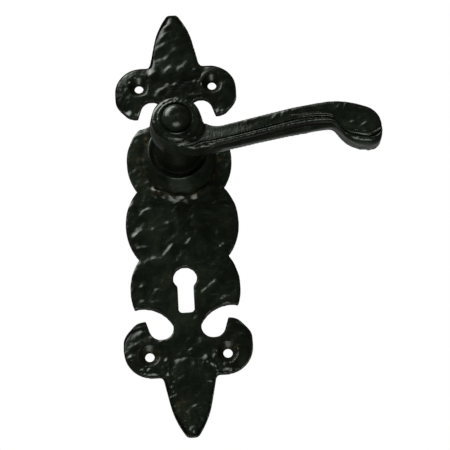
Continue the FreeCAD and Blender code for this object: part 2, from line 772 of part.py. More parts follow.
def coil_spot(angle, stand):
    """A point of the coil's line, and the direction in which the angle grows there."""
    turn = math.radians(angle)
    radius = size(COIL_RADIUS)
    spot = FreeCAD.Vector(radius * math.cos(turn), -stand, -radius * math.sin(turn))
    rise = size(PITCH) / math.tau
    along = FreeCAD.Vector(-radius * math.sin(turn), -rise, -radius * math.cos(turn))
    return spot, along.normalize()


def arc_between(start, corner, end):
    """The arc that touches both lines of an even-sided corner."""
    middle = (start + end) / 2
    slope = (end - middle).Length / (end - corner).Length
    top = middle + (corner - middle) * (slope / (1 + slope))
    return Part.Arc(start, top, end).toShape()


def biarc(start, start_way, end, end_way):
    """Two arcs that leave and arrive in the given directions and meet smoothly."""
    chord = end - start
    ways = start_way + end_way
    bend = 2 * (1 - start_way.dot(end_way))
    span = chord.dot(ways)
    reach = (math.sqrt(span * span + bend * chord.dot(chord)) - span) / bend
    first = start + start_way * reach
    second = end - end_way * reach
    meeting = (first + second) / 2
    return [arc_between(start, first, meeting), arc_between(meeting, second, end)]


def leg(end, way, holder_angle, side):
    """From the coil's end, a bend outwards and a straight beside the ear or the pin."""
    turn = math.radians(holder_angle)
    outwards = FreeCAD.Vector(math.cos(turn), 0, -math.sin(turn))
    reach = size("leg_bend_radius") * math.tan(way.getAngle(outwards) / 2)
    corner = end + way * reach
    foot = corner + outwards * reach
    tip_out = math.sqrt(size(LEG_REACH) ** 2 - side ** 2)
    tip = foot + outwards * (tip_out - foot.dot(outwards))
    return [arc_between(end, corner, foot), Part.LineSegment(foot, tip).toShape()], tip, outwards


def least_gap(line, wire, turns):
    """The least gap of the tube to itself, between points over half a turn apart."""
    points = line.discretize(Distance=wire / 2)
    apart = int(len(points) / turns / 2)
    return min((points[i] - points[j]).Length - 2 * wire
               for i in range(len(points)) for j in range(i + apart, len(points)))


def make_return_spring():
    """One tube: a leg at the anchor pin, the coil, and a leg at the cam's tab."""
    wire = size("wire_radius")
    turns = size(TURNS)
    first = size(FIXED_END)
    back = size(COIL_BACK)
    quarters = math.ceil(4 * turns)
    spots = []
    for i in range(quarters + 1):
        part_way = turns * i / quarters
        spots.append(coil_spot(first + 360 * part_way, back + size(PITCH) * part_way))
    coil = []
    for (start, start_way), (end, end_way) in zip(spots, spots[1:]):
        coil += biarc(start, start_way, end, end_way)
    start, way = spots[0]
    fixed_leg, fixed_tip, outwards = leg(start, -way, size("anchor_angle"), size(PIN_SIDE))
    end, way = spots[-1]
    moving_leg = leg(end, way, size("ear_angle"), size(TAB_SIDE))[0]
    line = Part.Wire(Part.__sortEdges__(fixed_leg + coil + moving_leg))
    ring = Part.Wire(Part.makeCircle(wire, fixed_tip, outwards))
    print("least gap between the spring's turns, mm:", round(least_gap(line, wire, turns), 2))
    spring = doc.addObject("Part::Feature", "return_spring")
    spring.Label = "return_spring"
    spring.Shape = line.makePipeShell([ring], True, False).Solids[0]
    return spring


# Rear cover

def make_rear_cover():
    body = new_body("rear_cover")
    disc(body, "cover_disc", "0", "0", COVER_RADIUS, "cover_thickness", "cover_sink")
    spindle_corner = "spindle_square / sqrt(2)"
    bore(body, "spindle_bore", "0", "0", f"{spindle_corner} + cover_bore_clearance",
         "cover_thickness", "cover_sink")
    places = [cover_screw_place(i) for i in range(int(size("cover_screw_count")))]
    clearance = new_sketch(body, "clearance_sketch", "XZ_Plane", "cover_sink")
    for across, up in places:
        draw_circle(clearance, across, up, "cover_screw_radius + cover_clearance")
    doc.recompute()
    hole = body.newObject("PartDesign::Hole", "cover_holes")
    hole.Profile = clearance
    hole.Reversed = True
    hole.DepthType = "ThroughAll"
    hole.Threaded = False
    hole.ThreadType = "None"
    hole.HoleCutType = "Countersink"
    hole.HoleCutCustomValues = True
    hole.HoleCutCountersinkAngle = 90
    bind(hole, Diameter="2 * (cover_screw_radius + cover_clearance)",
         HoleCutDiameter="2 * (cover_screw_head_radius + fit_clearance)")
    doc.recompute()
    return body


def make_cover_screw(i):
    """Drawn about the spindle's axis, and moved to its hole by the body's place."""
    body = new_body(f"cover_screw_{i + 1}")
    turned(body, f"cover_screw_{i + 1}_turned", [
        ("0", "0"),
        ("cover_screw_head_radius", "0"),
        ("cover_screw_radius", "cover_screw_head_radius - cover_screw_radius"),
        ("cover_screw_radius", "cover_screw_length"),
        ("0", "cover_screw_length"),
    ])
    slot = new_sketch(body, f"cover_screw_{i + 1}_slot_sketch", "XZ_Plane")
    half = "cover_screw_slot_width / 2"
    draw_box(slot, "-2 * cover_screw_head_radius", "2 * cover_screw_head_radius",
             "-" + half, half)
    cut(body, f"cover_screw_{i + 1}_slot", slot, "cover_screw_slot_depth")
    across, up = cover_screw_place(i)
    body.setExpression(".Placement.Base.x", bound(across))
    body.setExpression(".Placement.Base.y", bound("-cover_sink"))
    body.setExpression(".Placement.Base.z", bound(up))
    return body


bush_bore = "journal_radius + running_clearance"
pieces = [
    make_backplate(),
    make_boss_collar(),
    turned_ring("hub_bush", bush_bore, f"{bush_bore} + bush_wall", WEB_BACK, WEB_FRONT),
    turned_ring("neck_washer", f"{bush_bore} + cam_clearance", "neck_washer_radius",
                WEB_FRONT, f"{WEB_FRONT} + neck_washer_thickness"),
    turned_ring("thrust_washer", f"{bush_bore} + cam_clearance", THRUST_WASHER_RADIUS,
                f"{WEB_BACK} - end_play - thrust_washer_thickness", f"{WEB_BACK} - end_play"),
    make_lever(),
    make_front_cap(),
    make_spindle(),
    make_grub_screw(),
    make_spring_cam(),
    make_circlip(),
    make_return_spring(),
    make_rear_cover(),
]
for name, circle, angle, radius in pin_list():
    pin_back = CAM_BACK
    if name == "spring_anchor_pin":
        pin_back = COVER_FRONT
    pieces.append(make_pin(name, circle, angle, radius, pin_back))
for i in range(int(size("cover_screw_count"))):
    pieces.append(make_cover_screw(i))
doc.recompute()

for item in doc.Objects:
    if "Invalid" in item.State or "Error" in item.State:
        raise RuntimeError(f"{item.Name} is {item.State}")
os.makedirs("parts", exist_ok=True)
for piece in pieces:
    shape = piece.Shape
    if shape.isNull() or not shape.isValid():
        raise RuntimeError(f"{piece.Label} has no valid shape")
    print(f"{piece.Label}: {len(shape.Solids)} solid, {shape.Volume:.1f} mm3")
for piece in pieces:
    piece.Shape.exportStep(f"parts/{piece.Label}.step")
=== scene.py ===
import math

import bmesh
import bpy
import numpy as np
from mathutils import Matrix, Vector, noise


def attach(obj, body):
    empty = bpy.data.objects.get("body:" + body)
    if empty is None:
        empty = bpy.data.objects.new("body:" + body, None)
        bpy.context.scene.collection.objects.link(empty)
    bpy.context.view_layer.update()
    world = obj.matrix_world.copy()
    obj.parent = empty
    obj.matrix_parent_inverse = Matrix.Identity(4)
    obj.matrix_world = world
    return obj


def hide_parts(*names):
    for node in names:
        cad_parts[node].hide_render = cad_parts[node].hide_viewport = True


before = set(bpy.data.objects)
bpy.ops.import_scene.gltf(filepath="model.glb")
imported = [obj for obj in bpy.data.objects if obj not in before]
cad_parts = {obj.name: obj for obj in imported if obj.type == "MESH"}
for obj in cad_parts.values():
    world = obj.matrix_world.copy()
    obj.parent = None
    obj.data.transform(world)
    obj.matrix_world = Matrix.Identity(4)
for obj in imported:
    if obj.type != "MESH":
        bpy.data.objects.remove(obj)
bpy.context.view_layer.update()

# The looks of a black iron lever handle. The relief below is worked out in millimetres,
# in the frame of the CAD parts: X along the lever, Y into the door, Z up.

MM = 0.001


# Places that the relief follows, in millimetres

PLATE_CENTRE = -27.0
PLATE_FRONT = -4.4
HOLE_ACROSS = 17.4
HOLE_REACH = 65.5
SINK_RADIUS = 5.0
HOLE_RADIUS = 2.1
SPEAR_ROOT_REACH = 75.1
SPEAR_TIP_REACH = 102.4
SPEAR_ROOT_WIDTH = 11.9
LEAF_RISE = 0.7
LEAF_ARCH_REACH = 67.6
LEAF_ARCH_RISE = 4.0
LEAF_HALF_WIDTH = 12.2
BOSS_RIM_STAND = 16.0
BOSS_FOOT_RADIUS = 17.5
BOSS_MOUTH_RADIUS = 12.4
FOOT_LINE = BOSS_FOOT_RADIUS + 0.9
NECK_RADIUS = 10.3
HEAD_FRONT = -52.8
HEAD_RADIUS = 11.9
BY_HEAD = 10.8
RING_RADIUS = 7.1
ARM_FRONT = -51.0
ARM_BACK = -42.0
ARM_THICK = ARM_BACK - ARM_FRONT
ARM_END = 89.5


# Meshes as arrays of points in millimetres

# Each round of softening pulls a casting in and then lets it out, so that it keeps its size
SOFTEN_PUSHES = (0.6, -0.58)
SOFTEN_PASSES = 2
MERGE_DISTANCE = 0.002


def read_points(mesh):
    points = np.empty(len(mesh.vertices) * 3, np.float32)
    mesh.vertices.foreach_get("co", points)
    return points.reshape(-1, 3).astype(float) / MM


def read_normals(mesh):
    normals = np.empty(len(mesh.vertices) * 3, np.float32)
    mesh.vertices.foreach_get("normal", normals)
    return normals.reshape(-1, 3).astype(float)


def write_points(mesh, points):
    mesh.vertices.foreach_set("co", (points * MM).astype(np.float32).ravel())
    mesh.update()


def fade(values, start, end):
    """0 at start, 1 at end, and smooth between them."""
    share = np.clip((values - start) / (end - start), 0, 1)
    return share * share * (3 - 2 * share)


def bell(values, width):
    return np.exp(-(values / width) ** 2)


def lumps(points, size, seed=0.0):
    """Soft noise from about -1 to 1, with lumps of that size in millimetres."""
    shift = np.array([3.7, 11.3, 7.9]) * (seed + 1)
    return np.array([noise.noise(Vector(p)) for p in points / size + shift])


def stretched(points, angle, ratio):
    """Points squeezed along a direction in the plate's plane, so that noise runs that way."""
    turn = math.radians(angle)
    along = points[:, 0] * math.cos(turn) + points[:, 2] * math.sin(turn)
    across = points[:, 2] * math.cos(turn) - points[:, 0] * math.sin(turn)
    return np.stack([along / ratio, points[:, 1], across], axis=1)


def smooth_line(*knots):
    """A height that runs smoothly through (along, height) knots, as a function."""
    along, height = np.array(knots, float).T
    slopes = np.gradient(height, along)

    def line(places):
        i = np.clip(np.searchsorted(along, places) - 1, 0, len(along) - 2)
        span = along[i + 1] - along[i]
        t = np.clip((places - along[i]) / span, 0, 1)
        start = (1 + 2 * t) * (1 - t) ** 2 * height[i] + t * (1 - t) ** 2 * span * slopes[i]
        end = t * t * (3 - 2 * t) * height[i + 1] - t * t * (1 - t) * span * slopes[i + 1]
        return start + end

    return line


def cast_copy(node, name, grain, rounds):
    """A node's mesh as one casting: remeshed into even faces, its edges softened."""
    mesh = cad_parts[node].data.copy()
    mesh.materials.clear()
    shell = bmesh.new()
    shell.from_mesh(mesh)
    bmesh.ops.remove_doubles(shell, verts=shell.verts, dist=MERGE_DISTANCE * MM)
    shell.to_mesh(mesh)
    shell.free()
    rough = bpy.data.objects.new(name + "_rough", mesh)
    bpy.context.scene.collection.objects.link(rough)
    remesh = rough.modifiers.new("even_faces", "REMESH")
    remesh.mode = "VOXEL"
    remesh.voxel_size = grain * MM
    for _ in range(rounds):
        for push in SOFTEN_PUSHES:
            soften = rough.modifiers.new("soft_edges", "SMOOTH")
            soften.factor = push
            soften.iterations = SOFTEN_PASSES
    graph = bpy.context.evaluated_depsgraph_get()
    finished = bpy.data.meshes.new_from_object(rough.evaluated_get(graph))
    bpy.data.objects.remove(rough)
    finished.name = name
    piece = bpy.data.objects.new(name, finished)
    bpy.context.scene.collection.objects.link(piece)
    finished.shade_smooth()
    return piece


def mark_points(mesh, name, values):
    """Store a number on each point, which the finish reads."""
    layer = mesh.attributes.new(name, "FLOAT", "POINT")
    layer.data.foreach_set("value", values.astype(np.float32))


def finer(piece, wanted):
    """Split the faces between the wanted points, where the relief is small."""
    shell = bmesh.new()
    shell.from_mesh(piece.data)
    edges = [edge for edge in shell.edges if all(wanted[v.index] for v in edge.verts)]
    bmesh.ops.subdivide_edges(shell, edges=edges, cuts=1, use_grid_fill=True)
    shell.to_mesh(piece.data)
    shell.free()
    piece.data.shade_smooth()


# Relief of the backplate

SKIN_DEPTH = 0.6
CALMER_UPPER_LEAF = 0.45
MARK_STRENGTH = 1.2


def on_upper_leaf(points):
    return fade(points[:, 2], 42, 47)


def hammered(points):
    """How far the hammered skin lies under the highest of it, in millimetres."""
    run = stretched(points, 32, 1.15)
    warp = np.stack([lumps(points, 9, 1), lumps(points, 9, 2), lumps(points, 9, 3)], axis=1)
    broad = lumps(points, 13, 4)
    middle = lumps(run + warp * 2.2, 5.2, 5)
    small = lumps(run + warp * 1.5, 2.3, 6)
    ridges = 1 - np.abs(lumps(run + warp * 3.0, 6.5, 7)) * 2.2
    fine = lumps(points, 1.4, 19)
    skin = 0.24 * broad + 0.3 * middle + 0.22 * small + 0.09 * fine + 0.1 * np.clip(ridges, 0, 1)
    strength = 1 - CALMER_UPPER_LEAF * on_upper_leaf(points)
    return SKIN_DEPTH - strength * skin


def blow(points, across, up, long, wide, angle, height):
    """One hammer mark or raised lump, as a height."""
    turn = math.radians(angle)
    x = points[:, 0] - across
    z = points[:, 2] - up
    along = x * math.cos(turn) + z * math.sin(turn)
    over = z * math.cos(turn) - x * math.sin(turn)
    return height * np.exp(-(along / long) ** 2 - (over / wide) ** 2)


# Lumps and dents that the plate shows: across, up, length, width, angle, height
PLATE_MARKS = [
    (-2.4, 69.6, 2.6, 1.3, 30, 0.35),
    (-4.6, 64.4, 2.4, 1.4, 40, 0.3),
    (-6.2, 58.5, 3.0, 1.6, 20, 0.3),
    (1.3, 56.6, 3.0, 2.0, 25, 0.25),
    (-6.5, 53.3, 3.4, 1.4, 20, -0.3),
    (-2.6, 45.4, 3.0, 2.0, 35, 0.75),
    (-10.2, 44.6, 2.6, 1.7, -30, 0.6),
    (3.6, 45.6, 2.6, 1.9, 20, 0.7),
    (9.8, 45.2, 2.6, 1.6, 40, 0.55),
    (5.8, 49.4, 2.4, 1.6, 50, 0.3),
    (-6.3, 36.0, 3.0, 1.8, 20, 0.5),
    (0.5, 36.5, 2.2, 1.6, 0, -0.4),
    (-21.3, 25.4, 1.8, 1.6, 0, 0.5),
    (-16.2, 11.2, 4.5, 2.6, 40, 0.9),
    (-13.4, 33.6, 3.6, 0.9, -8, 0.45),
    (10.6, 32.8, 3.0, 0.8, 5, 0.4),
    (21.6, 26.2, 2.0, 1.2, 20, 0.35),
    (-16.6, -25.2, 3.0, 1.5, 25, 0.7),
    (-19.8, -35.8, 3.0, 1.4, 28, 0.7),
    (-19.6, -42.4, 1.8, 1.4, 0, 0.6),
    (-17.0, -42.6, 1.5, 1.2, 0, 0.5),
    (-12.8, -50.4, 4.6, 2.8, 28, 1.1),
    (-17.6, -53.4, 3.6, 2.2, 10, 0.8),
    (-5.5, -43.0, 2.4, 1.4, 55, 0.5),
    (-13.7, -34.0, 1.6, 1.1, 20, 0.4),
    (-5.8, -31.0, 1.9, 1.2, 15, 0.4),
    (18.0, -43.0, 1.3, 1.1, 0, 0.5),
    (22.6, -25.4, 1.8, 1.2, 10, 0.45),
    (11.5, -31.2, 2.6, 0.9, 5, 0.35),
    (3.3, -40.6, 1.2, 2.2, 15, 0.35),
    (13.6, -60.8, 4.0, 1.2, 26, 0.6),
    (9.2, -64.2, 2.4, 1.1, 30, 0.5),
    (-11.2, -63.1, 2.6, 1.0, -18, 0.45),
    (-19.0, -60.8, 1.8, 1.0, 0, 0.4),
    (18.6, -68.2, 3.4, 1.3, 12, 0.7),
    (-12.0, -69.0, 3.4, 1.2, -10, 0.6),
    (-18.6, -68.0, 1.8, 1.2, 0, 0.55),
    (14.6, -51.0, 2.2, 1.4, 30, 0.3),
    (-9.8, -18.9, 2.0, 1.2, -30, 0.5),
    (-4.4, -19.8, 2.6, 1.2, -12, 0.7),
    (2.5, -20.4, 2.6, 1.2, 4, 0.7),
    (8.6, -18.6, 2.4, 1.4, 30, 0.6),
    (-22.8, -21.0, 2.0, 1.4, 60, 0.4),
    (-10.9, -86.4, 1.6, 1.0, 0, 0.5),
    (-9.6, -96.0, 1.7, 2.0, 20, 0.85),
    (-17.6, -100.0, 3.6, 1.3, -8, 0.8),
    (-25.6, -92.6, 1.4, 1.2, 0, 0.5),
    (-25.8, -79.6, 1.8, 1.6, 40, 0.4),
    (0.8, -91.4, 1.7, 1.0, 30, 0.45),
    (8.2, -95.2, 2.0, 1.4, -25, 0.85),
    (12.8, -95.4, 2.0, 1.2, -35, 0.75),
    (17.9, -99.0, 2.6, 1.5, 10, 0.85),
    (20.6, -80.0, 1.6, 2.0, 10, 0.4),
    (6.8, -87.6, 2.4, 1.6, 30, 0.5),
    (2.2, -116.4, 2.0, 0.9, 10, 0.5),
    (-0.6, -120.6, 1.2, 2.0, 10, 0.5),
    (2.4, -121.4, 1.3, 1.6, 0, 0.45),
    (1.4, -125.0, 1.6, 1.0, 0, 0.4),
    (-4.0, -104.0, 2.6, 1.4, 10, 0.3),
]


def from_holes(across, reach):
    """The distance from the nearest fixing hole's middle."""
    return np.hypot(abs(across) - HOLE_ACROSS, reach - HOLE_REACH)


def spear_width(reach):
    """Half the width of the pointed leaf at a distance from the plate's centre."""
    share = np.clip((SPEAR_TIP_REACH - reach) / (SPEAR_TIP_REACH - SPEAR_ROOT_REACH), 0, 1)
    return SPEAR_ROOT_WIDTH * share ** 0.62


def leaf_relief(across, reach):
    """Depth of the leaf's crown, and of the step where it overlaps the lobes."""
    arch = LEAF_ARCH_REACH + LEAF_ARCH_RISE * (across / SPEAR_ROOT_WIDTH) ** 2
    inside = fade(LEAF_HALF_WIDTH - abs(across), -0.4, 0.4)
    on_leaf = fade(reach, arch - 0.4, arch + 1.0) * inside
    bend = np.clip(abs(across) / np.maximum(spear_width(reach), 2.5), 0, 1.2)
    crown = 0.9 * bend ** 2.4 + 1.3 * fade(reach, 90, 103) ** 2
    near = fade(LEAF_HALF_WIDTH - abs(across), -1.3, 0.7)
    crease = 0.22 * bell(reach - arch + 1.1, 1.1) * near
    return on_leaf * crown + crease


def lobe_relief(across, reach):
    """Depth of the lobes round the fixing holes, which are crowned toward their edges."""
    away = from_holes(across, reach)
    crown = np.clip((away - 6.0) / 7.0, 0, 1.1) ** 2 * fade(abs(across), 9, 14)
    crown *= 1 + 0.7 * fade(reach - HOLE_REACH, 0, 6)
    rim = -0.2 * bell(away - SINK_RADIUS - 0.9, 0.8)
    return crown + rim


def beaten(points, across, reach):
    """Close, steep lumps low on the bottom lobes and at the lower leaf's tip, as a depth."""
    bottom = points[:, 2] < PLATE_CENTRE
    width = fade(abs(across), 5, 8) * fade(-abs(across), -24, -20)
    on_lobe = fade(reach - HOLE_REACH, 1.5, 5.0) * width
    on_tip = fade(reach, 89, 94) * fade(-abs(across), -5.5, -3)
    return bottom * (0.55 * on_lobe + 0.6 * on_tip) * (lumps(points, 1.7, 20) + 0.3)


def foot_relief(points):
    """The uneven lip that the casting has under the collar's foot, as a depth."""
    radius = np.hypot(points[:, 0], points[:, 2])
    below = fade(-points[:, 2], 12.0, 16.5)
    crest = FOOT_LINE + 0.6 * lumps(points, 4.0, 8)
    height = 1.7 + 0.7 * lumps(points, 2.6, 10)
    flank = 2.3
    return -below * height * np.clip((crest + flank - radius) / flank, 0, 1)


def true_holes(points):
    """Put the walls of the fixing holes back on the plain solid's own."""
    for side in (-1, 1):
        for end in (-1, 1):
            x = points[:, 0] - side * HOLE_ACROSS
            z = points[:, 2] - PLATE_CENTRE - end * HOLE_REACH
            away = np.hypot(x, z)
            wall = np.clip(SINK_RADIUS + PLATE_FRONT - points[:, 1], HOLE_RADIUS, SINK_RADIUS)
            pull = np.where(away < wall + 0.5, wall / np.maximum(away, 0.1), 1)
            points[:, 0] += x * (pull - 1)
            points[:, 2] += z * (pull - 1)


def shape_backplate(piece):
    """Hammer the plate's front, crown its leaves and lobes, and roughen its edges."""
    mesh = piece.data
    points = read_points(mesh)
    facing = fade(-read_normals(mesh)[:, 1], 0.25, 0.8)
    across = points[:, 0]
    reach = abs(points[:, 2] - PLATE_CENTRE)
    whole = fade(from_holes(across, reach), SINK_RADIUS - 0.3, SINK_RADIUS + 0.5)
    leaf_front = PLATE_FRONT - LEAF_RISE * fade(reach, 66.5, 71.5)
    base = facing * (reach < 72) * np.maximum(leaf_front - points[:, 1], 0)
    depth = hammered(points) + base
    for mark in PLATE_MARKS:
        depth -= MARK_STRENGTH * blow(points, *mark)
    at_end = fade(reach, 50, 54)
    leaf = leaf_relief(across, reach) * (1 - CALMER_UPPER_LEAF * on_upper_leaf(points))
    depth += at_end * (leaf + lobe_relief(across, reach)) + beaten(points, across, reach)
    depth = np.maximum(depth, 0.02) + foot_relief(points)
    raised = points[:, 1] < PLATE_FRONT + 2.5
    points[:, 1] += facing * whole * raised * depth
    sides = (1 - facing) * (points[:, 1] < -1.0)
    normals = read_normals(mesh)
    wobble = 0.12 * (lumps(points, 3.5, 9) - 0.8)
    points += normals * (sides * wobble)[:, None] * np.array([1, 0, 1])
    true_holes(points)
    write_points(mesh, points)
    # The side walls are marked here so that the finish paints them darker: painted shade.
    mark_points(mesh, "grime", 1 - facing)


# Relief of the lever

# The groove between the arm's face and the bead along its lower edge
GROOVE_LINE = smooth_line((-3, -11.2), (0, -11.7), (3, -11.9), (6, -11.6), (9, -11.0), (12, -10.25),
                          (16.3, -9.85), (22.8, -8.65), (31.6, -6.85), (40.4, -4.95), (49.2, -2.9),
                          (53.7, -2.0), (58, -1.75), (62.4, -1.8), (66.7, -2.3), (68.8, -3.4),
                          (69.9, -5.1), (71, -7.0), (72.2, -8.65), (73.4, -9.6), (74.7, -10.3),
                          (77.6, -11.15), (81, -11.95), (84, -12.1), (86.8, -10.9), (89, -9))
# The fine rib above it, round the widened end
RIB_LINE = smooth_line((47, -0.9), (53.7, -0.6), (58.1, -0.2), (62.5, -0.15), (66.8, -0.8),
                       (68.8, -1.9), (70, -3.7), (71.1, -6.0), (72.2, -7.7), (73.4, -8.8),
                       (74.7, -9.5), (77.7, -10.2), (81.1, -10.8), (84.1, -10.9), (86.8, -9.9),
                       (89, -8.5))

# Depth of the arm's front below the groove: share of the way to its lower edge, depth
BEAD_PROFILE = [(0, 1.4), (0.08, 1.15), (0.18, 0.5), (0.27, 0.16), (0.36, 0.05), (0.46, 0.1),
                (0.6, 0.28), (0.75, 0.5), (0.88, 0.75), (1.0, 1.15)]

# How much lower than the plain solid the rear of the arm's underside hangs
SAG_LINE = smooth_line((20, 0.1), (28, 0.3), (36, 0.5), (44, 0.75), (50, 1.0), (57, 1.0), (61, 0.6),
                       (65, 0.25), (72, 0.4), (80, 0.7), (87, 0.75), (90, 0.4))


# Nicks and small lumps on the arm's face: across, up, length, width, angle, height
ARM_MARKS = [
    (42.8, -1.0, 1.8, 0.7, 35, 0.35),
    (46.9, 0.7, 2.2, 0.7, 60, 0.3),
    (48.7, 1.4, 2.2, 0.6, 60, 0.3),
    (54.6, 3.0, 3.4, 0.7, 15, 0.25),
    (31.0, -2.2, 1.4, 0.8, 20, 0.2),
    (34.5, -1.4, 2.4, 0.6, 25, 0.2),
    (71.4, 2.8, 2.4, 0.7, 35, 0.25),
    (74.2, 3.4, 2.4, 0.6, 55, 0.35),
    (76.4, -5.2, 1.6, 0.8, 10, 0.35),
    (79.6, -3.6, 1.2, 0.8, 30, 0.2),
    (81.6, -6.3, 2.0, 0.8, 30, 0.4),
    (78.3, -8.2, 2.0, 0.6, 10, 0.2),
    (81.7, -8.8, 1.4, 0.6, 10, 0.25),
]


def arm_edge(points, outermost, start):
    """The arm's upper or lower edge in the front view, read along X from its points."""
    first, step = -3.0, 0.6
    places = np.arange(first, ARM_END, step)
    on_arm = points[(points[:, 1] < ARM_BACK + 0.5) & (points[:, 0] > first)]
    slots = np.clip(((on_arm[:, 0] - first) / step).round().astype(int), 0, len(places) - 1)
    edge = np.full(len(places), start)
    outermost.at(edge, slots, on_arm[:, 2])
    even = np.convolve(np.pad(edge, 1, "edge"), np.full(3, 1 / 3), "valid")
    return np.interp(points[:, 0], places, even)


def square_to(line, x):
    """The slope of a line, and how much shorter a square distance is than an upright one."""
    slope = (line(x + 0.2) - line(x - 0.2)) / 0.4
    return slope, 1 / np.sqrt(1 + slope ** 2)


def arm_depth(points, top, low):
    """Depth of the arm's front: tilted face, rib, groove and bead."""
    x, _, z = points.T
    slope, square = square_to(GROOVE_LINE, x)
    under = (GROOVE_LINE(x) - z) * square
    share = under / np.maximum((GROOVE_LINE(x) - low) * square, 0.6)
    shares, depths = np.array(BEAD_PROFILE).T
    bead = np.interp(share, shares, depths)
    bead += 0.17 * lumps(points, 1.3, 18) * bell(share - 0.6, 0.3)
    over = np.maximum(-under, 0)
    tilt = 0.17 * fade(x, 44, 20) + 0.05
    face = 0.6 + tilt * over
    from_top = top - z
    wide = 0.9 + 0.5 * bell(x - 54, 6) + 1.3 * bell(x - 74, 8)
    face += 0.6 * np.clip(1 - from_top / wide, 0, 1) ** 1.3 * fade(x, 30, 46)
    for mark in ARM_MARKS:
        face -= blow(points, *mark)
    face = 1.3 + (face - 1.3) * fade(over, 0.02, 0.55)
    depth = np.where(under > 0, bead, face)
    _, rib_square = square_to(RIB_LINE, x)
    from_rib = (z - RIB_LINE(x)) * rib_square
    by_rib = fade(x, 47, 56)
    rib = 0.42 * bell(from_rib, 0.36) - 0.3 * bell(from_rib - 0.9, 0.42)
    return depth - by_rib * (under < 0) * rib


def shape_arm(points, normals, radius, skin):
    """Give the arm its relief and the cove under its bead; give back where its cove and groove are
    painted darker as painted shade, and where its underside is painted paler as a painted
    reflection.
    """
    x, y, z = points.T
    low = arm_edge(points, np.minimum, 99.0)
    top = arm_edge(points, np.maximum, -99.0)
    slope, square = square_to(GROOVE_LINE, x)
    by_head = fade(radius, BY_HEAD, BY_HEAD + 0.6) * fade(-z, 8, 10) * fade(x, -3, 0)
    beside_head = np.maximum(fade(radius, HEAD_RADIUS, HEAD_RADIUS + 0.6), by_head)
    on_arm = beside_head * (y < ARM_BACK + 0.5) * (x > -3)
    at_pad = fade(x, 66, 72)
    behind = np.clip(y - ARM_FRONT, 0, ARM_THICK)
    toward_front = 1 - behind / ARM_THICK
    depth = np.maximum(arm_depth(points, top, low) + 0.1 - skin, 0.02)
    above_groove = fade(z - GROOVE_LINE(x), 0.3, 1.2)
    fillet = 0.9 * np.clip(1 - (radius - 11.2) / 2.4, 0, 1) ** 2 * above_groove
    pushed = on_arm * (depth * toward_front - fillet * (behind < 0.5))
    width = (GROOVE_LINE(x) - low) * square
    narrow = fade(x, 67, 73) * np.maximum(width - 2.4, 0)
    under = np.clip((GROOVE_LINE(x) - z) * square / np.maximum(width, 0.6), 0, 1)
    lift = narrow / square * under * toward_front
    facing_down = -normals[:, 2] * square + normals[:, 0] * slope * square
    down = fade(facing_down, 0.3, 0.7)
    cove = fade(under, 0.45, 1) * fade(behind, 5.4, 1.0) * (1 - at_pad) * fade(x, 12, 18)
    sag_start = 2.6 - 2.3 * at_pad
    sag = SAG_LINE(x) * np.clip((behind - sag_start) / (3.6 - 2.1 * at_pad), 0, 1)
    lift += 0.8 * cove - down * sag
    # The downward-facing rear of the underside is marked to be painted paler: a painted reflection
    # of the pale surroundings below.
    underside_reflection_start = 5.0 - 4.2 * at_pad
    worn = on_arm * down * fade(behind, underside_reflection_start, underside_reflection_start + 1.5) * fade(x, 17, 30)
    lift += 0.4 * depth * fade(top - z, 2.5, 0.5) * toward_front * (1 - down)
    chin = 0.8 * fade(x, 12, 6) * fade(x, -3, 1) * fade(-z, 11, 12.2)
    crown = 0.55 * bell(x - 60.5, 7) * fade(top - z, 3, 0)
    points[:, 1] += pushed
    points[:, 2] += on_arm * (lift - chin - crown)
    # The cove under the bead and the groove are marked to be painted darker: painted shade.
    in_groove = bell((z - GROOVE_LINE(x)) * square, 0.5) * (behind < 0.5)
    return on_arm * np.clip(down * cove * 1.4 + 0.5 * in_groove, 0, 1), worn


def head_depth(points, radius):
    """Depth of the head's face: a crest round its lower side, and a rounded upper rim."""
    x, _, z = points.T
    low_side = fade(-z, 1, 6) * fade(x, 9, 5)
    crest = 8.7 + 1.7 * fade(x, -3, 4)
    dish = 0.4 * np.clip((crest - radius) / 1.3, 0, 1) * low_side
    below = 0.9 * np.clip((radius - crest) / 2.0, 0, 1) ** 1.3 * low_side
    upper = fade(z, 3, 7.5)
    from_ring = np.clip((radius - RING_RADIUS - 0.3) / 3.1, 0, 1)
    rolled = (0.1 + 0.7 * upper) * from_ring ** 1.7 * (1 - low_side)
    grain = (0.09 + 0.07 * upper) * lumps(points, 1.2, 14) + 0.08 * lumps(points, 2.4, 15)
    grain += 0.2 * bell(radius - RING_RADIUS - 0.6, 0.3)
    strokes = 0.07 * lumps(points * np.array([0.4, 1, 1.6]), 1.2, 17) * low_side
    return np.maximum(dish + below + rolled + 0.16 - grain - strokes, -0.1)


